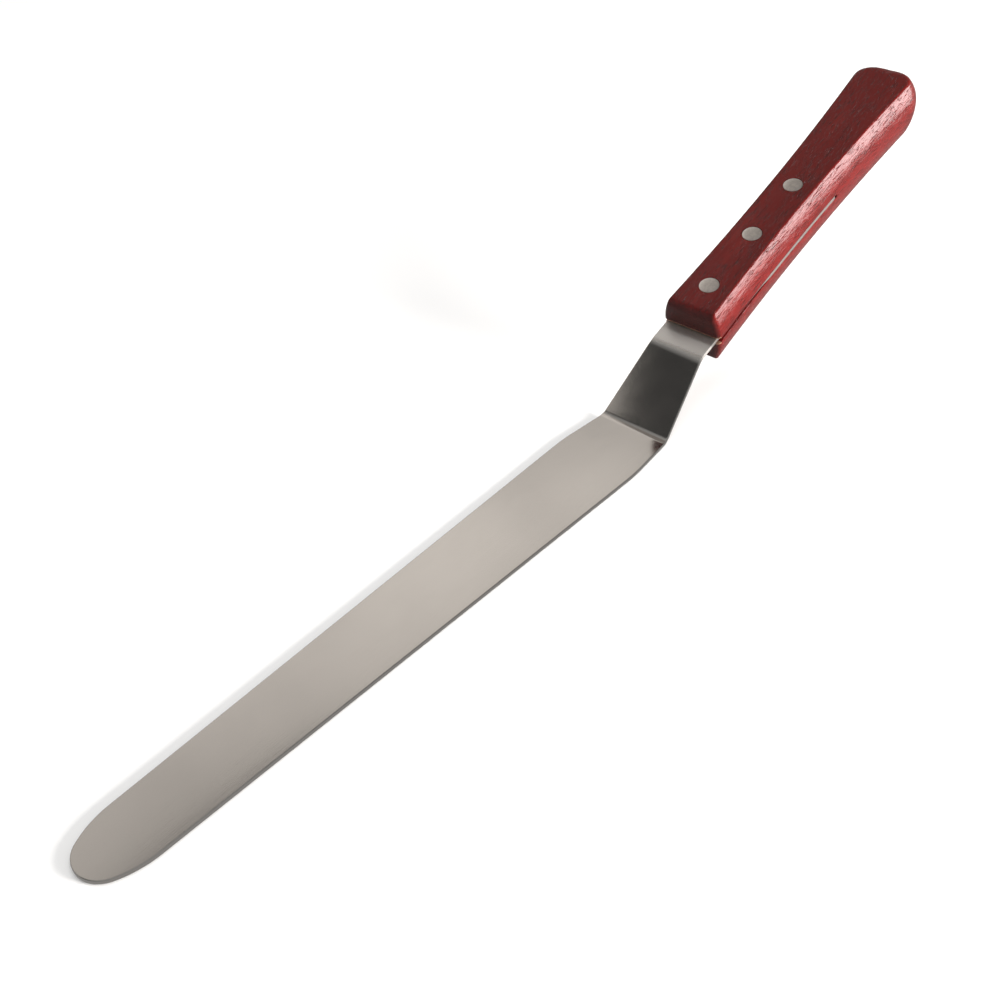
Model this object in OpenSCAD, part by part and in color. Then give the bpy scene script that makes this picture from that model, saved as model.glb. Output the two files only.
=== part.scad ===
// Offset spatula: a cranked steel blade whose tang is held in a slotted wooden handle by three
// two-piece rivets. The blade lies flat with its underside at Z = 0. +X runs from the round tip to
// the butt of the handle, and Y = 0 is the plane of symmetry. The origin is on the table, halfway
// between the tip and the butt.

/* [Blade] */
// Length of the flat blade, from the tip to the lower bend
blade_len = 203.2; // [150:0.1:260]
// Width of the blade at its widest, near the heel
heel_w = 26.9; // [25:0.1:34]
// Distance from the lower bend to the widest place
heel_x = 19; // [14:0.5:30]
// Radius of the edge where the blade starts to narrow towards the crank
heel_r = 80; // [40:5:100]
// Width of the blade where the round tip begins
tip_w = 18.3; // [17:0.1:22]
// Length of the round tip
tip_len = 14.6; // [13:0.1:18]
// Radius at the very end of the tip
tip_end_r = 7.3; // [5:0.1:7.5]
// Thickness of the steel sheet
sheet_t = 1.2; // [0.8:0.1:1.4]

/* [Crank] */
// Width of the crank at the lower bend
crank_w = 23.6; // [21:0.1:24.5]
// Length of the crank between the two bend lines
crank_len = 28; // [20:0.1:40]
// Slope of the crank above the blade, in degrees
crank_angle = 42; // [32:0.5:50]
// Radius inside the lower bend
lower_bend_r = 4; // [2:0.5:6]
// Radius outside the upper bend
upper_bend_r = 11; // [6:0.5:14]

/* [Tang] */
// Width of the neck and of the tang
tang_w = 18.2; // [16:0.1:18.6]
// Length of bare neck between the upper bend line and the handle
neck_len = 8.5; // [6:0.1:20]
// Length of the tang inside the handle
tang_len = 72.4; // [70:0.1:73]
// Distance behind the handle's front where the tang's edges come flush with the wood
flush_x = 25; // [15:1:40]

/* [Handle] */
// Length of the handle along its middle plane
handle_len = 134; // [120:0.5:150]
// Thickness of the handle between its two flats
handle_t = 20; // [18:0.5:20]
// Slope of the handle above the blade, in degrees
handle_tilt = 18.5; // [8:0.5:24]
// Width of the handle at its waist, across the bulged sides
waist_w = 18.9; // [18.8:0.1:24]
// Distance from the handle's front to the waist
waist_x = 45; // [40:1:60]
// Radius of the long hollow curve that makes the waist
waist_r = 1150; // [1000:50:2500]
// Height of the bulge on each side, above the edges of the flats
bulge = 2.3; // [1:0.1:3]
// Radius of the upper and lower edges of the front end
front_r = 2.5; // [1:0.1:4]
// Radius of the butt's end, seen from the side
butt_end_r = 10.6; // [10.2:0.1:12]
// Depth of the saw slot that takes the tang
slot_len = 73.6; // [73.2:0.1:90]

/* [Rivets] */
// Diameter of the rivet heads
head_d = 6.35; // [5:0.05:8]
// Thickness of the rivet heads
head_t = 1.2; // [0.8:0.1:2]
// Outer diameter of the sleeves
sleeve_d = 4.4; // [4:0.1:4.8]
// Diameter of the pins pressed into the sleeves
pin_d = 3; // [2:0.1:3.2]
// Distance from the handle's front to the first rivet
rivet_x = 11.5; // [8:0.1:16]
// Distance between neighbouring rivets
rivet_pitch = 25.4; // [20:0.1:26]

/* [Hidden] */

$fn = 96;
// Facets of the two circles that are too large for the general number, and of each bend
heel_fn = 256;
waist_fn = 1440;
bend_steps = 12;
// How far a cutting shape runs past what it cuts
over = 1;
// Sweep of the waist curve's cutters, a little more than the handle's length needs
waist_sweep = 10;
// How much the tang is relieved on each edge in the mouth of the slot, behind the neck
relief = 0.05;
// Gap left beyond the end of each pin, inside its sleeve
pin_gap = 1;

steel = [0.72, 0.71, 0.69];
wood = [0.44, 0.09, 0.07];
rivet_metal = [0.6, 0.56, 0.52];

// Angles of the blade's edges to the middle line: towards the tip, and towards the crank
blade_taper = atan((heel_w - tip_w) / 2 / (blade_len - tip_len - heel_x));
crank_taper = atan((heel_w - crank_w) / 2 / heel_x);

// The tip: an arc at the very end, and a shoulder each side tangent to it and to the blade's edge
tip_x = tip_len - blade_len;
end_x = tip_end_r - blade_len;
shoulder_r = (pow(tip_len, 2) - 2 * tip_end_r * tip_len + pow(tip_w / 2, 2))
    / (2 * (tip_end_r - tip_len) * sin(blade_taper) + tip_w * cos(blade_taper) - 2 * tip_end_r);
shoulder_x = tip_x + shoulder_r * sin(blade_taper);
shoulder_y = tip_w / 2 - shoulder_r * cos(blade_taper);
end_join_x = end_x - tip_end_r * (shoulder_x - end_x) / (shoulder_r - tip_end_r);

// The upper bend line, and the middle of the handle's front face
upper_bend_x = crank_len * cos(crank_angle);
upper_bend_z = sheet_t / 2 + crank_len * sin(crank_angle);
front_x = upper_bend_x + neck_len * cos(handle_tilt);
front_z = upper_bend_z + neck_len * sin(handle_tilt);

// What each bend takes off the straight stretches next to it, along the middle of the sheet
lower_setback = (lower_bend_r + sheet_t / 2) * tan(crank_angle / 2);
upper_setback = (upper_bend_r - sheet_t / 2) * tan((crank_angle - handle_tilt) / 2);

// The handle's sides bulge on an arc, and its round butt is tangent to both waist curves
side_r = (pow(handle_t / 2, 2) + pow(bulge, 2)) / 2 / bulge;
waist_y = waist_r + waist_w / 2;
butt_run = handle_len - waist_x;
butt_r = (pow(butt_run, 2) + pow(waist_y, 2) - pow(waist_r, 2)) / 2 / (waist_r + butt_run);
butt_x = handle_len - butt_r;
butt_lean = atan((butt_x - waist_x) / waist_y);
// Half the width of the block that the handle is shaped from
block_y = butt_r + 1;
// Width of the sheet that the blade is cut from
sheet_w = heel_w + 2;

// The foremost and rearmost points, and the middle between them
butt_end_x = front_x + (handle_len - butt_end_r) * cos(handle_tilt) + butt_end_r;
middle_x = (butt_end_x - blade_len) / 2;

// Puts its children in the part's frame, from a frame whose origin is under the lower bend line
module in_part() {
    translate([-middle_x, 0, 0]) children();
}

// Puts its children in the part's frame, from the handle's own: X = 0 is its front face and X its
// length, and Z = 0 is its middle plane
module in_handle() {
    in_part() translate([front_x, 0, front_z]) rotate([0, -handle_tilt, 0]) children();
}

// Points on an arc about a centre, from one angle to another
function arc(centre, r, from, to) = [
    for (i = [0 : bend_steps])
        let (angle = from + (to - from) * i / bend_steps) centre + r * [cos(angle), sin(angle)]
];

// The bent sheet before it is cut out, from the tip to just inside the handle's front face
module sheet() {
    lower_centre = [-lower_setback, lower_bend_r + sheet_t];
    upper_centre = [upper_bend_x, upper_bend_z]
        - upper_setback * [cos(crank_angle), sin(crank_angle)]
        + (upper_bend_r - sheet_t / 2) * [sin(crank_angle), -cos(crank_angle)];
    half_t = sheet_t / 2 * [-sin(handle_tilt), cos(handle_tilt)];
    sheet_end = [front_x, front_z] + over * [cos(handle_tilt), sin(handle_tilt)];
    rotate([90, 0, 0]) linear_extrude(sheet_w, center = true) polygon(concat(
        [[-blade_len, sheet_t]],
        arc(lower_centre, lower_bend_r, -90, crank_angle - 90),
        arc(upper_centre, upper_bend_r, crank_angle + 90, handle_tilt + 90),
        [sheet_end + half_t, sheet_end - half_t],
        arc(upper_centre, upper_bend_r - sheet_t, handle_tilt + 90, crank_angle + 90),
        arc(lower_centre, lower_bend_r + sheet_t, crank_angle - 90, -90),
        [[-blade_len, 0]]
    ));
}

// The round tip, from above
module tip_plan() {
    translate([end_x, 0]) circle(tip_end_r);
    intersection() {
        translate([shoulder_x, shoulder_y]) circle(shoulder_r);
        translate([shoulder_x, -shoulder_y]) circle(shoulder_r);
        translate([end_join_x, -tip_w]) square([tip_x - end_join_x + over, 2 * tip_w]);
    }
}

// What the heel's rounded corner takes off the blade's outline, on the +Y side
module heel_corner() {
    setback = heel_r * tan((blade_taper + crank_taper) / 2);
    start = [-heel_x, heel_w / 2] - setback * [cos(blade_taper), sin(blade_taper)];
    end = [-heel_x, heel_w / 2] + setback * [cos(crank_taper), -sin(crank_taper)];
    centre = start + heel_r * [sin(blade_taper), -cos(blade_taper)];
    difference() {
        polygon([start, [-heel_x, heel_w / 2 + over], end]);
        translate(centre) circle(heel_r, $fn = heel_fn);
    }
}

// Outline of the blade behind the tip, the crank and the neck, from above
module blade_plan() {
    half = [
        [tip_x, tip_w / 2],
        [-heel_x, heel_w / 2],
        [0, crank_w / 2],
        [upper_bend_x, tang_w / 2],
        [front_x + 2 * over, tang_w / 2]
    ];
    difference() {
        polygon(concat(half, [for (i = [len(half) - 1 : -1 : 0]) [half[i].x, -half[i].y]]));
        heel_corner();
        mirror([0, 1]) heel_corner();
    }
}

// Outline of the tang, square to it and in the handle's frame. Behind flush_x its edges follow the
// handle's waist.
module tang_plan() {
    difference() {
        translate([0, -block_y]) square([tang_len, 2 * block_y]);
        for (y = [-1, 1] * waist_y) translate([waist_x, y]) circle(waist_r, $fn = waist_fn);
        for (side = [0, 1]) mirror([0, side])
            translate([-over, tang_w / 2 - relief]) square([flush_x + over, block_y]);
    }
}

// Takes from above and below what lies outside the bulged side of the handle at +Y
module side_cutter() {
    translate([waist_x, waist_y, 0]) rotate(-90 - waist_sweep / 2)
        rotate_extrude(angle = waist_sweep, $fn = waist_fn) difference() {
            translate([waist_r - 2 * block_y, -handle_t]) square([4 * block_y, 2 * handle_t]);
            translate([waist_r + side_r, 0]) circle(side_r);
        }
}

// The handle's outer shape as far back as the butt, with its rounded front end
module waisted_body() {
    block_lean = block_y * tan(butt_lean);
    intersection() {
        difference() {
            linear_extrude(handle_t, center = true) polygon([
                [0, -block_y],
                [butt_x - block_lean, -block_y],
                [butt_x, 0],
                [butt_x - block_lean, block_y],
                [0, block_y]
            ]);
            side_cutter();
            mirror([0, 1, 0]) side_cutter();
        }
        rotate([90, 0, 0]) linear_extrude(2 * block_y + over, center = true) {
            translate([front_r, -handle_t / 2]) square([handle_len, handle_t]);
            translate([0, front_r - handle_t / 2]) square([handle_len, handle_t - 2 * front_r]);
            for (z = [-1, 1] * (handle_t / 2 - front_r)) translate([front_r, z]) circle(front_r);
        }
    }
}

// The handle's round butt, whose side bulges like the rest of the handle and whose end is rounded
// between the flats too
module butt() {
    difference() {
        translate([butt_x, 0, 0]) rotate_extrude() intersection() {
            translate([0, -handle_t / 2]) square([butt_r + over, handle_t]);
            translate([butt_r - side_r, 0]) circle(side_r);
        }
        translate([handle_len - butt_end_r, 0, 0]) difference() {
            translate([0, -block_y, -handle_t]) cube([butt_end_r + over, 2 * block_y, 2 * handle_t]);
            rotate([90, 0, 0]) cylinder(h = 3 * block_y, r = butt_end_r, center = true);
        }
    }
}

// The handle before it is slotted and drilled
module handle_blank() {
    waisted_body();
    butt();
}

// Places its children at each rivet, in the handle's frame
module at_rivet(index) {
    translate([rivet_x + index * rivet_pitch, 0, 0]) children();
}

// Cranked steel sheet. Its tang is as wide as the neck in the mouth of the slot, and is ground flush
// with the handle's sides behind that.
module blade() {
    color(steel) difference() {
        union() {
            in_part() intersection() {
                sheet();
                union() {
                    linear_extrude(front_z + sheet_t) tip_plan();
                    linear_extrude(front_z + sheet_t) blade_plan();
                }
            }
            in_handle() linear_extrude(sheet_t, center = true) tang_plan();
        }
        in_handle() for (i = [0 : 2]) at_rivet(i)
            cylinder(h = handle_t, d = sleeve_d, center = true);
    }
}

// One-piece wooden handle, slotted from the front for the tang and drilled for the rivets
module handle() {
    color(wood) in_handle() difference() {
        handle_blank();
        translate([-over, -block_y, -sheet_t / 2]) cube([slot_len + over, 2 * block_y, sheet_t]);
        for (i = [0 : 2]) at_rivet(i) {
            cylinder(h = 2 * handle_t, d = sleeve_d, center = true);
            for (side = [0, 1]) mirror([0, 0, side])
                translate([0, 0, handle_t / 2 - head_t]) cylinder(h = head_t + over, d = head_d);
        }
    }
}

// Upper half of a rivet: a flush head with a solid pin, which is pressed into the sleeve
module rivet_pin(index) {
    color(rivet_metal) in_handle() at_rivet(index) {
        translate([0, 0, handle_t / 2 - head_t]) cylinder(h = head_t, d = head_d);
        translate([0, 0, head_t + pin_gap - handle_t / 2])
            cylinder(h = handle_t - 2 * head_t - pin_gap, d = pin_d);
    }
}

// Lower half of a rivet: a flush head with a tubular sleeve through the wood and the tang
module rivet_sleeve(index) {
    color(rivet_metal) in_handle() at_rivet(index) {
        translate([0, 0, -handle_t / 2]) cylinder(h = head_t, d = head_d);
        translate([0, 0, head_t - handle_t / 2]) difference() {
            cylinder(h = handle_t - 2 * head_t, d = sleeve_d);
            cylinder(h = handle_t, d = pin_d);
        }
    }
}

blade();
handle();
rivet_pin(0);  // front_rivet_pin
rivet_sleeve(0);  // front_rivet_sleeve
rivet_pin(1);  // middle_rivet_pin
rivet_sleeve(1);  // middle_rivet_sleeve
rivet_pin(2);  // rear_rivet_pin
rivet_sleeve(2);  // rear_rivet_sleeve
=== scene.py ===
"""Offset spatula: satin steel blade, crank and tang, dyed and varnished wooden handle, flush rivets."""
from math import acos, asin, atan, atan2, cos, hypot, pi, radians, sin, sqrt, tan

import bmesh
import bpy
from mathutils import Matrix, Vector


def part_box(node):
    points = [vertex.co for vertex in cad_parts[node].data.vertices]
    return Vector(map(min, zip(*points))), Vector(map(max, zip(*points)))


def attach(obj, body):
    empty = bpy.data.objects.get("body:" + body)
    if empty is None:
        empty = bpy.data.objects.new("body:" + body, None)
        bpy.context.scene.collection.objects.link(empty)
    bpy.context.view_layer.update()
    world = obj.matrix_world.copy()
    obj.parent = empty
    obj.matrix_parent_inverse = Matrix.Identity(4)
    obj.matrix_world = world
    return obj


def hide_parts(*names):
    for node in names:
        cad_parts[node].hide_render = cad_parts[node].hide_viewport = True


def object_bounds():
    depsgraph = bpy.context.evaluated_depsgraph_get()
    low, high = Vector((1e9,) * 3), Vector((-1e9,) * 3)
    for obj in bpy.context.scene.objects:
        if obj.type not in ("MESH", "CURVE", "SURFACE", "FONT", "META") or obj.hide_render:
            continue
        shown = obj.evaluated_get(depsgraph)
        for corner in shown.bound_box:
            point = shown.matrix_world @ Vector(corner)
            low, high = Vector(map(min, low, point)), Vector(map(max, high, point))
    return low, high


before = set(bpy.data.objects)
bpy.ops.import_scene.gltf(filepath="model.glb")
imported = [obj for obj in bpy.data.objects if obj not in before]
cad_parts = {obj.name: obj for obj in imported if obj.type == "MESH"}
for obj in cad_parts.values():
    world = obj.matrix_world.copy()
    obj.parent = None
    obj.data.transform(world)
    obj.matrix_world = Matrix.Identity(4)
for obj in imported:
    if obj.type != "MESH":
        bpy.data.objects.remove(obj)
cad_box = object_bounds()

MM = 0.001

# The part's own dimensions, in millimetres and degrees, as part.scad has them
BLADE_LEN, HEEL_W, HEEL_X, HEEL_R = 203.2, 26.9, 19.0, 80.0
TIP_W, TIP_LEN, TIP_END_R = 18.3, 14.6, 7.3
SHEET_T = 1.2
CRANK_W, CRANK_LEN, CRANK_ANGLE = 23.6, 28.0, radians(42)
LOWER_R, UPPER_R = 4.0, 11.0
TANG_W, NECK_LEN, TANG_LEN, FLUSH_X = 18.2, 8.5, 72.4, 25.0
HANDLE_LEN, HANDLE_T, HANDLE_TILT = 134.0, 20.0, radians(18.5)
WAIST_W, WAIST_X, WAIST_R = 18.9, 45.0, 1150.0
BULGE, FRONT_R, SLOT_LEN = 2.3, 2.5, 73.6
HEAD_D, HEAD_T, SLEEVE_D, PIN_D = 6.35, 1.2, 4.4, 3.0
RIVET_X, RIVET_PITCH = 11.5, 25.4
PIN_GAP = 1.0                # from the pin's end to the sleeve's floor

# Details of the looks that the part leaves out, in millimetres
CREASE = 0.12                # width of the faces that keep a rounded edge's shading off the flat beside it
WELD = 0.002                 # points nearer than this are one
EDGE_R = 0.18                # rounding of the sheet's edges
FLUSH_GAP = 0.04             # how far the tang's edge stays under the wood's surface
FLUSH_EASE = 9.0             # length over which the tang widens to the wood's surface
SLOT_PLAY = 0.02             # gap between the sheet and each side of the slot
SLOT_LIP = 0.22              # rounding of the slot's edges
MOUTH, MOUTH_LEN = 0.55, 2.2   # how far the slot opens at the handle's front, and over what length
CORNER_R = 1.6               # rounding in plan of the handle's front corners
FLAT_FILLET, BUTT_FILLET = 0.75, 1.5   # rounding of the flats' edges, along the sides and round the butt
FILLET_GROWS, FILLET_RUN, FILLET_MORE = 110, 20, 0.5   # where the first starts to grow, and by how much a run
END_DOMING = 2.0             # how much more the butt's end bulges than the sides
COUNTERBORE_PLAY, COUNTERBORE_EASE = 0.06, 0.1   # gap round the rivets' heads, and the easing of its edge
OVERCUT = 1                  # how far the cutters reach past the flats
CROWN = 0.02                 # how much a rivet's head falls from its middle to its edge
UNDER_EASE = 0.15            # rounding of the heads underneath
FLOOR_GAP = 0.2              # how far the floor lies under the part
# Name of each rivet, how proud its head stands, and the rounding of the head's edge
RIVETS = (("front", 0.0, 0.12), ("middle", 0.06, 0.28), ("rear", 0.05, 0.24))

# ---------------------------------------------------------------- the part's frame
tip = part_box("blade")[0].x / MM
bend_x = tip + BLADE_LEN
half_t = SHEET_T / 2
upper_x = CRANK_LEN * cos(CRANK_ANGLE)
upper_z = half_t + CRANK_LEN * sin(CRANK_ANGLE)
front_x = upper_x + NECK_LEN * cos(HANDLE_TILT)
front_z = upper_z + NECK_LEN * sin(HANDLE_TILT)
# Places a point of the handle's frame (X its length, Z square to its flats) in the part's frame
HANDLE_AT = (Matrix.Translation(Vector((bend_x + front_x, 0, front_z)) * MM)
             @ Matrix.Rotation(-HANDLE_TILT, 4, "Y"))


def handle_point(x, y, z):
    return HANDLE_AT @ Vector((x * MM, y * MM, z * MM))


# ---------------------------------------------------------------- outlines
def frange(a, b, n):
    """n equal steps from a to b, both included."""
    return [a + (b - a) * i / n for i in range(n + 1)]


blade_taper = atan((HEEL_W - TIP_W) / 2 / (BLADE_LEN - TIP_LEN - HEEL_X))
crank_taper = atan((HEEL_W - CRANK_W) / 2 / HEEL_X)
tip_x, end_x = TIP_LEN - BLADE_LEN, TIP_END_R - BLADE_LEN
shoulder_r = (TIP_LEN ** 2 - 2 * TIP_END_R * TIP_LEN + (TIP_W / 2) ** 2) / (
    2 * (TIP_END_R - TIP_LEN) * sin(blade_taper) + TIP_W * cos(blade_taper) - 2 * TIP_END_R)
shoulder_x = tip_x + shoulder_r * sin(blade_taper)
shoulder_y = TIP_W / 2 - shoulder_r * cos(blade_taper)
join_x = end_x - TIP_END_R * (shoulder_x - end_x) / (shoulder_r - TIP_END_R)
heel_back = HEEL_R * tan((blade_taper + crank_taper) / 2)
heel_start = -HEEL_X - heel_back * cos(blade_taper)
heel_end = -HEEL_X + heel_back * cos(crank_taper)
heel_cx = heel_start + HEEL_R * sin(blade_taper)
heel_cy = HEEL_W / 2 - heel_back * sin(blade_taper) - HEEL_R * cos(blade_taper)


def blade_half(x):
    """Half the width of the blade, crank or neck at X, measured from the lower bend line."""
    if x <= join_x:
        return sqrt(max(TIP_END_R ** 2 - (x - end_x) ** 2, 0))
    if x <= tip_x:
        return shoulder_y + sqrt(shoulder_r ** 2 - (x - shoulder_x) ** 2)
    if x <= heel_start:
        return TIP_W / 2 + (x - tip_x) * tan(blade_taper)
    if x <= heel_end:
        return heel_cy + sqrt(HEEL_R ** 2 - (x - heel_cx) ** 2)
    if x <= 0:
        return CRANK_W / 2 - x * tan(crank_taper)
    if x <= upper_x:
        return CRANK_W / 2 + (TANG_W - CRANK_W) / 2 * x / upper_x
    return TANG_W / 2


waist_y = WAIST_R + WAIST_W / 2
side_r = ((HANDLE_T / 2) ** 2 + BULGE ** 2) / 2 / BULGE
butt_run = HANDLE_LEN - WAIST_X
butt_r = (butt_run ** 2 + waist_y ** 2 - WAIST_R ** 2) / 2 / (WAIST_R + butt_run)
butt_x = HANDLE_LEN - butt_r
butt_lean = atan((butt_x - WAIST_X) / waist_y)


def handle_half(x):
    """Half the width of the handle's middle plane, ahead of its butt."""
    return waist_y - sqrt(WAIST_R ** 2 - (x - WAIST_X) ** 2)


# ---------------------------------------------------------------- mesh helpers
def make_object(name, verts, faces, material, sharp=35):
    """A smooth-shaded object, with edges sharp above that many degrees."""
    mesh = bpy.data.meshes.new(name)
    mesh.from_pydata([tuple(v) for v in verts], [], faces)
    bm = bmesh.new()
    bm.from_mesh(mesh)
    bmesh.ops.remove_doubles(bm, verts=bm.verts, dist=WELD * MM)
    bmesh.ops.dissolve_degenerate(bm, edges=bm.edges, dist=WELD * MM)
    bmesh.ops.recalc_face_normals(bm, faces=bm.faces)
    bm.to_mesh(mesh)
    bm.free()
    obj = bpy.data.objects.new(name, mesh)
    bpy.context.scene.collection.objects.link(obj)
    mesh.materials.append(material)
    smooth(mesh, sharp)
    return obj


def smooth(mesh, sharp):
    mesh.polygons.foreach_set("use_smooth", [True] * len(mesh.polygons))
    mesh.set_sharp_from_angle(angle=radians(sharp))
    mesh.update()


class Skin:
    """Collects points and the quads between rows of them."""

    def __init__(self):
        self.verts, self.faces = [], []

    def row(self, points):
        start = len(self.verts)
        self.verts.extend(points)
        return list(range(start, start + len(points)))

    def strip(self, a, b):
        for i in range(len(a) - 1):
            self.faces.append((a[i], a[i + 1], b[i + 1], b[i]))


def lerp_row(p, q, n):
    return [p + (q - p) * (i / n) for i in range(n + 1)]


# ---------------------------------------------------------------- the blade
low_r, top_r = LOWER_R + half_t, UPPER_R - half_t
turn = CRANK_ANGLE - HANDLE_TILT
low_back, top_back = low_r * tan(CRANK_ANGLE / 2), top_r * tan(turn / 2)


def sheet_point(s, y, up):
    """A point of the bent sheet: s along its middle from the tip, y across, up off the middle."""
    flat = BLADE_LEN - low_back
    crank = CRANK_LEN - low_back - top_back
    if s <= flat:
        x, z, a = s - BLADE_LEN, half_t, 0.0
    elif s <= flat + low_r * CRANK_ANGLE:
        a = (s - flat) / low_r
        x, z = -low_back + low_r * sin(a), half_t + low_r * (1 - cos(a))
    elif s <= flat + low_r * CRANK_ANGLE + crank:
        a = CRANK_ANGLE
        d = low_back + s - flat - low_r * CRANK_ANGLE
        x, z = d * cos(a), half_t + d * sin(a)
    else:
        r = s - flat - low_r * CRANK_ANGLE - crank
        cx = (CRANK_LEN - top_back) * cos(CRANK_ANGLE) + top_r * sin(CRANK_ANGLE)
        cz = half_t + (CRANK_LEN - top_back) * sin(CRANK_ANGLE) - top_r * cos(CRANK_ANGLE)
        a = CRANK_ANGLE - min(r / top_r, turn)
        x, z = cx - top_r * sin(a), cz + top_r * cos(a)
        rest = r - top_r * turn
        if rest > 0:
            x, z = x + rest * cos(a), z + rest * sin(a)
    return x - up * sin(a), y, z + up * cos(a)


def developed():
    """Lengths from the tip to the end of the flat, lower bend, crank and upper bend, and to the handle."""
    flat = BLADE_LEN - low_back
    bend1 = flat + low_r * CRANK_ANGLE
    crank = bend1 + CRANK_LEN - low_back - top_back
    bend2 = crank + top_r * turn
    front = bend2 + NECK_LEN - top_back
    return flat, bend1, crank, bend2, front


def tang_half(x):
    """Half the tang's width at X of the handle: ground flush with the wood behind FLUSH_X."""
    flush = handle_half(x) - FLUSH_GAP
    if x <= FLUSH_X:
        return TANG_W / 2
    ease = min((x - FLUSH_X) / FLUSH_EASE, 1.0)
    ease = ease * ease * (3 - 2 * ease)
    return TANG_W / 2 + (flush - TANG_W / 2) * ease


def build_blade(material):
    flat, bend1, crank, bend2, front = developed()
    stations = []           # (s, half width, outline normal along s and across)
    for a in frange(pi, acos((join_x - end_x) / TIP_END_R), 28):
        stations.append((TIP_END_R + TIP_END_R * cos(a), TIP_END_R * sin(a), cos(a), sin(a)))
    s_list = frange(join_x, tip_x, 10)[1:] + frange(tip_x, heel_start, 36)[1:]
    s_list += frange(heel_start, heel_end, 8)[1:]
    s_list = [x + BLADE_LEN for x in s_list] + frange(heel_end + BLADE_LEN, flat, 5)[1:]
    s_list += frange(flat, bend1, 14)[1:] + frange(bend1, crank, 10)[1:] + frange(crank, bend2, 14)[1:]
    s_list += frange(bend2, front, 3)[1:] + frange(front, front + TANG_LEN, 58)[1:]

    def half_at(s):
        if s <= front:
            return blade_half(sheet_point(s, 0, 0)[0])
        return tang_half(s - front)

    near = 0.05                 # half the length over which the outline's slope is taken
    for s in s_list:
        slope = (half_at(s + near) - half_at(s - near)) / (2 * near)
        n = hypot(1, slope)
        stations.append((s, half_at(s), -slope / n, 1 / n))
    arc = [(EDGE_R * (1 - sin(radians(t))), half_t - EDGE_R * (1 - cos(radians(t)))) for t in (0, 30, 60, 90)]
    arc.insert(0, (EDGE_R + CREASE, half_t))
    profile = arc + [(i, -u) for i, u in reversed(arc)]
    skin = Skin()
    rows = []
    for s, half, ns, ny in stations:
        side = [Vector((s - d * ns, max(half - d * ny, 0), u)) for d, u in profile]
        other = [Vector((p.x, -p.y, p.z)) for p in side]
        ring = side + lerp_row(side[-1], other[-1], 8)[1:-1]
        ring += other[::-1] + lerp_row(other[0], side[0], 8)[1:]
        points = []
        for q in ring:
            x, y, z = sheet_point(q.x, q.y, q.z)
            points.append(Vector((bend_x + x, y, z)) * MM)
        rows.append(skin.row(points))
    for a, b in zip(rows, rows[1:]):
        skin.strip(a, b)
        skin.faces.append((a[-1], a[0], b[0], b[-1]))
    skin.faces.append(tuple(reversed(rows[-1])))
    return make_object("blade_sheet", skin.verts, skin.faces, material, 50)


# ---------------------------------------------------------------- the handle
GAP = half_t + SLOT_PLAY     # half the slot's height in the wood
top = HANDLE_T / 2


def in_slot(x):
    return x < SLOT_LEN - 0.01


def section(half, high, fillet, lip, gap):
    """Points (y, z) of one upper quarter, from the slot's lip to the edge of the flat."""
    mid = half - side_r

    def side(z):
        return mid + sqrt(side_r ** 2 - z ** 2)

    fz = high - fillet
    fy = mid + sqrt((side_r - fillet) ** 2 - fz ** 2)
    start = atan2(fz, fy - mid)
    pts = [(side(gap) - lip, gap), (side(gap) - lip * 0.3, gap + lip * 0.3), (side(gap + lip), gap + lip)]
    low = asin((gap + lip) / side_r)
    for a in frange(low, start, 11)[1:]:
        pts.append((mid + side_r * cos(a), side_r * sin(a)))
    for a in frange(start, pi / 2, 6)[1:]:
        pts.append((fy + fillet * cos(a), fz + fillet * sin(a)))
    return pts + [(fy - CREASE, high)]


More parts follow.
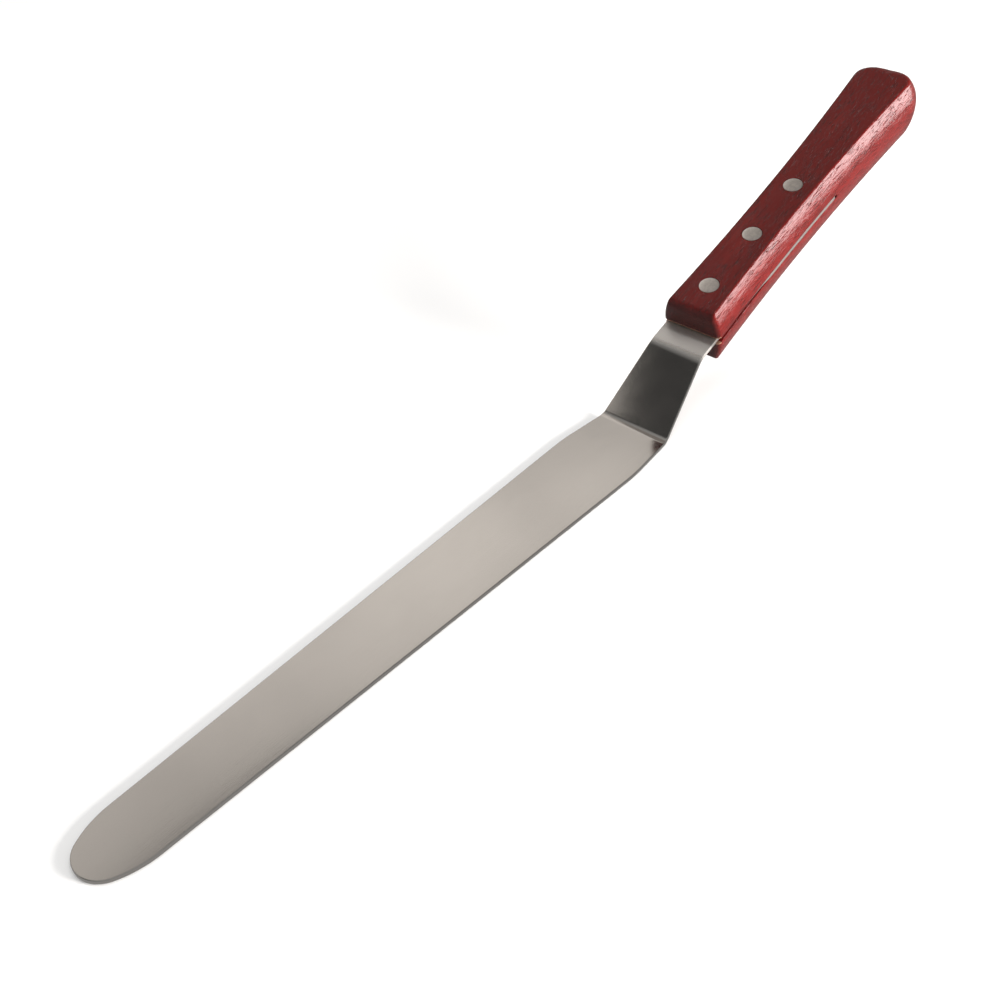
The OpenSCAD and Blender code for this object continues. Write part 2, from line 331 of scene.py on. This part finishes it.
def build_handle(material):
    columns = 10
    stations = []
    for a in frange(0, pi / 2, 8):          # the rounded front end
        x = FRONT_R * (1 - cos(a))
        h = top - FRONT_R + FRONT_R * sin(a)
        c = max(CORNER_R - x, 0)
        stations.append((x, CORNER_R - sqrt(max(CORNER_R ** 2 - c ** 2, 0)), h))
    tangent_x = butt_x - butt_r * sin(butt_lean)
    for x in frange(FRONT_R, SLOT_LEN, 34)[1:]:
        stations.append((x, 0, top))
    for x in frange(SLOT_LEN, tangent_x, 24)[1:]:
        stations.append((x, 0, top))
    skin = Skin()
    rows = []

    def across(left, right):
        """A row of points from one to the other, both included."""
        return [left] + skin.row(lerp_row(skin.verts[left], skin.verts[right], columns)[1:-1]) + [right]

    def add(place, half, h, fillet, lip, gap=GAP):
        quarter = section(half, h, fillet, lip, gap)
        ring = {}
        for up in (1, -1):
            for side in (1, -1):
                ring[up, side] = skin.row([place(y, side, z * up) for y, z in quarter])
            left, right = ring[up, 1], ring[up, -1]
            ring[up, "flat"] = across(left[-1], right[-1])
            ring[up, "slot"] = across(left[0], right[0])
        rows.append(ring)

    for x, inset, h in stations:
        fillet = FLAT_FILLET + FILLET_MORE * max((x - FILLET_GROWS) / FILLET_RUN, 0)
        lip = SLOT_LIP if in_slot(x) else 0
        mouth = MOUTH * max(1 - x / MOUTH_LEN, 0)
        add(lambda y, side, z, x=x: handle_point(x, side * y, z),
            handle_half(x) - inset, h, fillet, lip, GAP + mouth)
    for a in frange(pi / 2 + butt_lean, 0, 30)[1:]:
        def place(y, side, z, a=a):
            y = butt_r - (butt_r - y) * (1 + END_DOMING * cos(a) ** 2 * (a < pi / 2))
            return Vector(handle_point(butt_x + y * cos(a), side * y * sin(a), z))
        add(place, butt_r, top, BUTT_FILLET, 0)
    n_slot = sum(1 for x, _, _ in stations if in_slot(x))
    for i, (a, b) in enumerate(zip(rows, rows[1:])):
        for up in (1, -1):
            for side in (1, -1):
                skin.strip(a[up, side], b[up, side])
            if i < len(stations) - 1:
                skin.strip(a[up, "flat"], b[up, "flat"])
            if i < n_slot:
                skin.strip(a[up, "slot"], b[up, "slot"])
        if i >= n_slot:
            for side in (1, -1):
                skin.faces.append((a[1, side][0], b[1, side][0], b[-1, side][0], a[-1, side][0]))
    skin.strip(rows[n_slot][1, "slot"], rows[n_slot][-1, "slot"])
    butt = rows[len(stations):]
    for up in (1, -1):                       # the end of each flat, in one face
        rim = [r[up, -1][-1] for r in butt] + [r[up, 1][-1] for r in reversed(butt[:-1])]
        skin.faces.append(tuple(rows[len(stations) - 1][up, "flat"] + rim))
        prev = rows[0][up, "slot"]           # the front face, in rows across
        for left, right in zip(rows[0][up, 1][1:-1], rows[0][up, -1][1:-1]):
            row = across(left, right)
            skin.strip(prev, row)
            prev = row
        skin.strip(prev, rows[0][up, "flat"])
    return make_object("wooden_handle", skin.verts, skin.faces, material, 40)


def lathe(name, profile, place, material, sides=72):
    """Turns a profile of (radius, height) about its axis, and puts each point with place()."""
    skin = Skin()
    rows = []
    for k in range(sides):
        a = 2 * pi * k / sides
        rows.append(skin.row([place(r * cos(a), r * sin(a), z) for r, z in profile]))
    for a, b in zip(rows, rows[1:] + rows[:1]):
        skin.strip(a, b)
    return make_object(name, skin.verts, skin.faces, material)


def cut(obj, cutters):
    """Takes the cutters' shapes out of an object, and removes them."""
    for c in cutters:
        mod = obj.modifiers.new("cut", "BOOLEAN")
        mod.operation, mod.solver, mod.object = "DIFFERENCE", "EXACT", c
        bpy.context.view_layer.objects.active = obj
        bpy.ops.object.modifier_apply(modifier=mod.name)
        bpy.data.objects.remove(c)
    smooth(obj.data, 40)


# ---------------------------------------------------------------- materials
class Nodes:
    """Short names for building a node material."""

    def __init__(self, name):
        self.mat = bpy.data.materials.new(name)
        self.mat.use_nodes = True
        self.tree = self.mat.node_tree
        self.bsdf = self.tree.nodes["Principled BSDF"]
        self.coord = self.tree.nodes.new("ShaderNodeTexCoord")

    def new(self, kind):
        return self.tree.nodes.new("ShaderNode" + kind)

    def link(self, a, b):
        self.tree.links.new(a, b)

    def mapped(self, scale, tilt=0.0, offset=(0, 0, 0)):
        """The object's own coordinates, turned, scaled and moved."""
        turn = self.new("Mapping")
        turn.vector_type = "POINT"
        turn.inputs["Rotation"].default_value = (0, tilt, 0)
        self.link(self.coord.outputs["Object"], turn.inputs["Vector"])
        m = self.new("Mapping")
        m.inputs["Scale"].default_value = scale
        m.inputs["Location"].default_value = offset
        self.link(turn.outputs["Vector"], m.inputs["Vector"])
        return m.outputs["Vector"]

    def noise(self, vector, detail, rough, distortion=0.0):
        """Noise whose size is set by the vector's scale."""
        n = self.new("TexNoise")
        n.inputs["Scale"].default_value = 1.0
        n.inputs["Detail"].default_value = detail
        n.inputs["Roughness"].default_value = rough
        n.inputs["Distortion"].default_value = distortion
        self.link(vector, n.inputs["Vector"])
        return n.outputs["Fac"]

    def ramp(self, fac, stops):
        r = self.new("ValToRGB")
        r.color_ramp.interpolation = "EASE"
        set_stops(r, stops)
        self.link(fac, r.inputs["Fac"])
        return r.outputs["Color"]

    def feed(self, sock, value):
        """Gives a socket a number, a colour or another node's output."""
        if isinstance(value, (int, float)):
            sock.default_value = value
        elif isinstance(value, tuple):
            sock.default_value = (*value, 1)
        else:
            self.link(value, sock)

    def maths(self, op, a, b=0.0):
        m = self.new("Math")
        m.operation = op
        self.feed(m.inputs[0], a)
        self.feed(m.inputs[1], b)
        return m.outputs[0]

    def mix(self, fac, a, b):
        m = self.new("Mix")
        m.data_type = "RGBA"
        for sock, value in ((m.inputs["Factor"], fac), (m.inputs[6], a), (m.inputs[7], b)):
            self.feed(sock, value)
        return m.outputs[2]

    def bump(self, height, strength, distance):
        b = self.new("Bump")
        b.inputs["Strength"].default_value = strength
        b.inputs["Distance"].default_value = distance
        self.link(height, b.inputs["Height"])
        return b.outputs["Normal"]

    def from_front(self):
        """Distance behind the handle's front, and off the sheet's middle plane, in metres."""
        spot = self.new("SeparateXYZ")
        self.link(self.mapped((1, 1, 1), HANDLE_TILT), spot.inputs[0])
        origin = Matrix.Rotation(HANDLE_TILT, 4, "Y") @ handle_point(0, 0, 0)
        return (self.maths("SUBTRACT", spot.outputs["X"], origin.x),
                self.maths("ABSOLUTE", self.maths("SUBTRACT", spot.outputs["Z"], origin.z)))


def grey(v):
    return (v, v, v)


def set_stops(node, stops):
    """Gives a colour ramp its stops, each a position and a colour."""
    elements = node.color_ramp.elements
    while len(elements) < len(stops):
        elements.new(0.5)
    for element, (position, colour) in zip(elements, stops):
        element.position, element.color = position, (*colour, 1)


def steel_material(name, tint, rough):
    """Polished along the blade, with broad tone, smudges and fine lines."""
    n = Nodes(name)
    b = n.bsdf
    broad = n.noise(n.mapped((14, 30, 30)), 3.0, 0.55)
    smudge = n.noise(n.mapped((60, 90, 90), offset=(3, 1, 2)), 4.0, 0.6, 0.6)
    lines = n.noise(n.mapped((35, 9000, 9000)), 2.0, 0.6)
    scratch = n.noise(n.mapped((140, 2600, 2600), offset=(7, 2, 5)), 3.0, 0.5)
    tone = n.maths("ADD", n.maths("MULTIPLY", broad, 0.6), n.maths("MULTIPLY", smudge, 0.4))
    colour = n.ramp(tone, [(0.3, tuple(c * 0.94 for c in tint)), (0.7, tint)])
    colour = n.mix(n.maths("MULTIPLY", lines, 0.07), colour, grey(0.25))
    n.link(colour, b.inputs["Base Color"])
    r = n.maths("ADD", rough - 0.05, n.maths("MULTIPLY", smudge, 0.07))
    r = n.maths("ADD", r, n.maths("MULTIPLY", lines, 0.05))
    # the polishing wheel doesn't reach the neck next to the handle, which is left duller; over its last few
    # millimetres before the wood it turns more metallic again, which darkens it as painted shade next to the
    # handle
    near, reach = 0.0102, 0.008         # where it starts ahead of the handle, and the length it grows over
    neck = n.maths("MULTIPLY", n.maths("ADD", n.from_front()[0], near), 1 / reach)
    r = n.maths("ADD", r, n.ramp(neck, [(0.05, grey(0)), (0.5, grey(0.24))]))
    # the last stop is painted shade: it darkens the neck just ahead of the handle
    metallic_with_painted_shade = n.ramp(neck, [(0.05, grey(1)), (0.5, grey(0.66)), (0.86, grey(0.66)), (1.0, grey(0.88))])
    n.link(metallic_with_painted_shade, b.inputs["Metallic"])
    n.link(r, b.inputs["Roughness"])
    height = n.maths("ADD", n.maths("MULTIPLY", lines, 0.6), n.maths("MULTIPLY", scratch, 0.4))
    n.link(n.bump(height, 0.12, 0.00004), b.inputs["Normal"])
    return n.mat


def wood_material(name):
    """Red-dyed wood with dark pores, under a wavy varnish."""
    n = Nodes(name)
    b = n.bsdf
    tilt = HANDLE_TILT
    figure = n.noise(n.mapped((22, 260, 200), tilt), 4.0, 0.55, 1.2)
    bands = n.noise(n.mapped((9, 90, 90), tilt, (4, 0, 1)), 3.0, 0.5, 0.8)
    fibre = n.noise(n.mapped((120, 3200, 3200), tilt), 3.0, 0.6)
    cells = n.noise(n.mapped((230, 3000, 3000), tilt, (1, 5, 3)), 2.0, 0.5, 0.3)
    patch = n.noise(n.mapped((60, 170, 170), tilt, (9, 3, 2)), 2.0, 0.5)
    pores = n.ramp(n.maths("ADD", cells, n.maths("MULTIPLY", n.maths("SUBTRACT", patch, 0.5), 0.28)),
                   [(0.565, grey(0)), (0.63, grey(1))])
    base = n.ramp(n.maths("ADD", n.maths("MULTIPLY", figure, 0.55), n.maths("MULTIPLY", bands, 0.45)),
                  [(0.30, (0.056, 0.0018, 0.0014)), (0.52, (0.084, 0.0029, 0.0022)),
                   (0.72, (0.124, 0.0060, 0.0040))])
    base = n.mix(n.maths("MULTIPLY", fibre, 0.35), base, (0.085, 0.006, 0.0045))
    base = n.mix(n.maths("MULTIPLY", pores, 0.6), base, (0.014, 0.003, 0.002))
    # the sawn end is darker, and its wood is bare along the slot's mouth
    depth, off = n.from_front()
    end = n.ramp(n.maths("MULTIPLY", depth, 400), [(0.0, grey(0.55)), (0.7, grey(0))])
    base = n.mix(end, base, (0.022, 0.005, 0.004))
    bare = n.maths("MULTIPLY", n.maths("LESS_THAN", off, (GAP + MOUTH + 0.28) * MM),
                   n.maths("LESS_THAN", depth, 0.0012))
    base = n.mix(n.maths("MULTIPLY", bare, n.maths("ADD", 0.25, patch)), base, (0.30, 0.17, 0.11))
    n.link(base, b.inputs["Base Color"])
    b.inputs["Coat Weight"].default_value = 0.72
    b.inputs["Coat Roughness"].default_value = 0.17
    b.inputs["Coat IOR"].default_value = 1.5
    b.inputs["Specular IOR Level"].default_value = 0.05
    n.link(n.maths("ADD", 0.42, n.maths("MULTIPLY", fibre, 0.2)), b.inputs["Roughness"])
    height = n.maths("SUBTRACT", n.maths("MULTIPLY", fibre, 0.18), pores)
    grain = n.bump(height, 0.8, 0.00012)
    wave = n.noise(n.mapped((90, 420, 420), tilt, (2, 7, 4)), 3.0, 0.55)
    dents = n.maths("SUBTRACT", n.maths("MULTIPLY", wave, 0.5), n.maths("MULTIPLY", pores, 0.8))
    coat = n.bump(n.maths("ADD", dents, n.maths("MULTIPLY", fibre, 0.25)), 0.9, 0.00028)
    n.link(grain, b.inputs["Normal"])
    n.link(coat, b.inputs["Coat Normal"])
    return n.mat


def rivet_material(name, tint):
    """Soft metal with blotches and fine rubbing."""
    n = Nodes(name)
    b = n.bsdf
    b.inputs["Metallic"].default_value = 1.0
    blot = n.noise(n.mapped((900, 900, 900)), 4.0, 0.6, 0.5)
    fine = n.noise(n.mapped((900, 9000, 9000), HANDLE_TILT), 2.0, 0.5)
    n.link(n.ramp(blot, [(0.3, tuple(c * 0.82 for c in tint)), (0.7, tint)]), b.inputs["Base Color"])
    n.link(n.maths("ADD", 0.34, n.maths("MULTIPLY", blot, 0.16)), b.inputs["Roughness"])
    n.link(n.bump(n.maths("ADD", blot, n.maths("MULTIPLY", fine, 0.6)), 0.3, 0.00003), b.inputs["Normal"])
    return n.mat


STEEL = steel_material("satin_stainless", (0.62, 0.595, 0.565), 0.11)
WOOD = wood_material("varnished_red_wood")
RIVET = rivet_material("rubbed_aluminium", (0.79, 0.745, 0.70))

# ---------------------------------------------------------------- pieces
blade = build_blade(STEEL)
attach(blade, "root")
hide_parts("blade")

handle = build_handle(WOOD)
head, seat, pin, tube = HEAD_D / 2, top - HEAD_T, PIN_D / 2, SLEEVE_D / 2
rim, eased = head + COUNTERBORE_PLAY, head + COUNTERBORE_PLAY + COUNTERBORE_EASE
cutters = []
for i in range(len(RIVETS)):
    x = RIVET_X + i * RIVET_PITCH
    outer = [(0, top + OVERCUT), (eased, top + OVERCUT), (eased, top), (rim, top - COUNTERBORE_EASE),
             (rim, seat), (tube, seat)]
    profile = outer + [(r, -z) for r, z in reversed(outer)]
    cutters.append(lathe(f"bore_{i}", profile, lambda u, v, z, x=x: handle_point(x + u, v, z), WOOD))
cut(handle, cutters)
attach(handle, "root")
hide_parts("handle")

for i, (place, proud, bevel) in enumerate(RIVETS):
    x = RIVET_X + i * RIVET_PITCH

    def at(u, v, z, x=x):
        return handle_point(x + u, v, z)

    edge = top + proud - CROWN
    face = [(0, top + proud), (head * 0.5, top + proud - CROWN / 4), (head - bevel, edge),
            (head - bevel * 0.3, edge - bevel * 0.3), (head, edge - bevel)]
    face += [(head, seat), (pin, seat), (pin, -seat + PIN_GAP), (0, -seat + PIN_GAP)]
    pin_obj = lathe(f"{place}_pin", face, at, RIVET)
    under = [(0, -top), (head - UNDER_EASE, -top), (head - UNDER_EASE / 3, -top + UNDER_EASE / 3),
             (head, -top + UNDER_EASE), (head, -seat)]
    under += [(tube, -seat), (tube, seat), (pin, seat), (pin, -seat), (0, -seat)]
    sleeve_obj = lathe(f"{place}_sleeve", under, at, RIVET)
    for obj, node in ((pin_obj, f"{place}_rivet_pin"), (sleeve_obj, f"{place}_rivet_sleeve")):
        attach(obj, "root")
        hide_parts(node)

# ---------------------------------------------------------------- stage, lights and camera
scene = bpy.context.scene
AZ, EL = radians(-50.50), radians(39.61)         # of the camera, from -Y and from the floor
DIST, SHIFT_X, SHIFT_Y = 327.99, 11.10, 5.13     # from the target, and sideways and up on the view, in mm
FOCAL, IMAGE, SENSOR = 1165.2, 1000, 36          # focal length and picture in pixels, sensor in mm
TARGET = (bend_x - 48, 0, 8 + SHEET_T)           # on the blade ahead of the crank, in mm
back = Vector((sin(AZ) * cos(EL), -cos(AZ) * cos(EL), sin(EL)))
right = Vector((cos(AZ), sin(AZ), 0))
up = back.cross(right)
eye = (Vector(TARGET) + back * DIST - right * SHIFT_X - up * SHIFT_Y) * MM
cam = bpy.data.objects.new("camera", bpy.data.cameras.new("camera"))
scene.collection.objects.link(cam)
cam.matrix_world = Matrix((
    (right.x, up.x, back.x, eye.x), (right.y, up.y, back.y, eye.y),
    (right.z, up.z, back.z, eye.z), (0, 0, 0, 1)))
cam.data.sensor_width = SENSOR
cam.data.lens = FOCAL / IMAGE * SENSOR
cam.data.clip_start = 0.01
scene.camera = cam


def emitter(name, colour, strength):
    """A material that glows."""
    mat = bpy.data.materials.new(name)
    mat.use_nodes = True
    tree = mat.node_tree
    tree.nodes.clear()
    out = tree.nodes.new("ShaderNodeOutputMaterial")
    e = tree.nodes.new("ShaderNodeEmission")
    e.inputs["Color"].default_value = (*colour, 1)
    e.inputs["Strength"].default_value = strength
    tree.links.new(e.outputs[0], out.inputs["Surface"])
    return mat


def card(name, height, outline, material):
    """A flat card over the part, given by its corners, that only reflections see."""
    mesh = bpy.data.meshes.new(name)
    mesh.from_pydata([(x, y, height) for x, y in outline], [], [tuple(range(len(outline)))])
    obj = bpy.data.objects.new(name, mesh)
    scene.collection.objects.link(obj)
    mesh.materials.append(material)
    for ray in ("camera", "diffuse", "shadow", "transmission", "volume_scatter"):
        setattr(obj, "visible_" + ray, False)


floor_mat = bpy.data.materials.new("pale_floor")
floor_mat.use_nodes = True
for socket, value in (("Base Color", (0.86, 0.86, 0.86, 1)), ("Roughness", 0.9), ("Specular IOR Level", 0.1)):
    floor_mat.node_tree.nodes["Principled BSDF"].inputs[socket].default_value = value
floor_mesh = bpy.data.meshes.new("floor")
REACH = 6.0                                      # half the floor's side, in metres
corners = [(-REACH, -REACH, 0), (REACH, -REACH, 0), (REACH, REACH, 0), (-REACH, REACH, 0)]
floor_mesh.from_pydata(corners, [], [(0, 1, 2, 3)])
floor_mesh.materials.append(floor_mat)
floor = bpy.data.objects.new("floor", floor_mesh)
floor.location.z = cad_box[0][2] - FLOOR_GAP * MM
scene.collection.objects.link(floor)
floor.visible_glossy = False


def area(name, centre, facing, size, power, colour=(1, 1, 1), glossy=True):
    """A square lamp at one point that faces another."""
    data = bpy.data.lights.new(name, "AREA")
    data.shape, data.size, data.energy, data.color = "SQUARE", size, power, colour
    obj = bpy.data.objects.new(name, data)
    scene.collection.objects.link(obj)
    obj.location = centre
    obj.rotation_euler = (Vector(centre) - Vector(facing)).to_track_quat("Z", "Y").to_euler()
    obj.visible_glossy = glossy
    return obj


# The room: pale for the eye and for diffuse light, and dim in reflections, where the cards show
world = bpy.data.worlds.new("studio")
world.use_nodes = True
tree = world.node_tree
room = tree.nodes["Background"]
room.inputs["Color"].default_value = (1.0, 0.99, 0.975, 1)
room_light = 0.62                                # for the eye and for diffuse light
path = tree.nodes.new("ShaderNodeLightPath")
dim = tree.nodes.new("ShaderNodeMix")
dim.inputs["A"].default_value = room_light
ceiling = tree.nodes.new("ShaderNodeValToRGB")   # darker high up, and lit again straight overhead
set_stops(ceiling, [(0.35, grey(0.36)), (0.62, grey(0.05)), (0.82, grey(0.05)), (0.96, grey(0.50))])
view = tree.nodes.new("ShaderNodeTexCoord")
axes = tree.nodes.new("ShaderNodeSeparateXYZ")
tree.links.new(view.outputs["Generated"], axes.inputs[0])
tree.links.new(axes.outputs["Z"], ceiling.inputs["Fac"])
tree.links.new(ceiling.outputs["Color"], dim.inputs["B"])
tree.links.new(path.outputs["Is Glossy Ray"], dim.inputs["Factor"])
tree.links.new(dim.outputs["Result"], room.inputs["Strength"])
scene.world = world
scene.view_settings.view_transform = "Standard"

middle = Vector((0.02, 0, 0.02))                 # what the lamps face: the tool's middle and its grip
grip = Vector((0.11, 0, 0.06))
softbox = area("softbox", grip + Vector((0.67, -0.74, 0.13)) * 0.8, grip, 0.44, 6.6, (1.0, 0.97, 0.96))
lit = bpy.data.collections.new("lit_by_softbox")        # the steel would mirror it as a blank glare
lit.objects.link(handle)
softbox.light_linking.receiver_collection = lit
area("side", middle + Vector((0.34, -0.92, 0.16)), middle, 0.42, 41.0, (1.0, 0.96, 0.93), glossy=False)
area("top", middle + Vector((0.1, 0.3, 1.3)), middle, 1.4, 9.0, glossy=False)
ABOVE = 0.213                                    # height of the cards

# The bright card over the blade fades towards the tip's end and is a little patchy, like a real room
glow = emitter("blade_glow", (1.0, 0.95, 0.90), 1.0)
tree = glow.node_tree
coords = tree.nodes.new("ShaderNodeTexCoord")
parts = tree.nodes.new("ShaderNodeSeparateXYZ")
tree.links.new(coords.outputs["Object"], parts.inputs[0])
fade = tree.nodes.new("ShaderNodeValToRGB")
along = tree.nodes.new("ShaderNodeMapRange")
along.inputs["From Min"].default_value, along.inputs["From Max"].default_value = -0.20, 0.30
tree.links.new(parts.outputs["X"], along.inputs["Value"])
set_stops(fade, [(0.10, grey(0.60)), (0.26, grey(0.68)), (0.40, grey(0.84)), (0.58, grey(0.87)),
                 (0.74, grey(0.87)), (0.86, grey(0.78)), (0.97, grey(0.72))])
tree.links.new(along.outputs["Result"], fade.inputs["Fac"])
patches = tree.nodes.new("ShaderNodeTexNoise")
patches.inputs["Scale"].default_value, patches.inputs["Detail"].default_value = 16.0, 2.0
tree.links.new(coords.outputs["Object"], patches.inputs["Vector"])
vary = tree.nodes.new("ShaderNodeMapRange")
vary.inputs["From Min"].default_value, vary.inputs["From Max"].default_value = 0.3, 0.7
vary.inputs["To Min"].default_value, vary.inputs["To Max"].default_value = 0.86, 1.08
tree.links.new(patches.outputs["Fac"], vary.inputs["Value"])
level = tree.nodes.new("ShaderNodeMath")
level.operation = "MULTIPLY"
tree.links.new(fade.outputs["Color"], level.inputs[0])
tree.links.new(vary.outputs["Result"], level.inputs[1])
tree.links.new(level.outputs[0], tree.nodes["Emission"].inputs["Strength"])
card("blade_card", ABOVE,
     [(0.45, 0.108), (0.06, 0.114), (-0.05, 0.131), (-0.30, 0.131), (-0.30, 0.42), (0.45, 0.42)], glow)
card("handle_card", ABOVE, [(0.34, 0.015), (0.34, 0.104), (0.04, 0.112), (0.02, 0.015)],
     emitter("handle_glow", (1.0, 0.91, 0.84), 0.24))
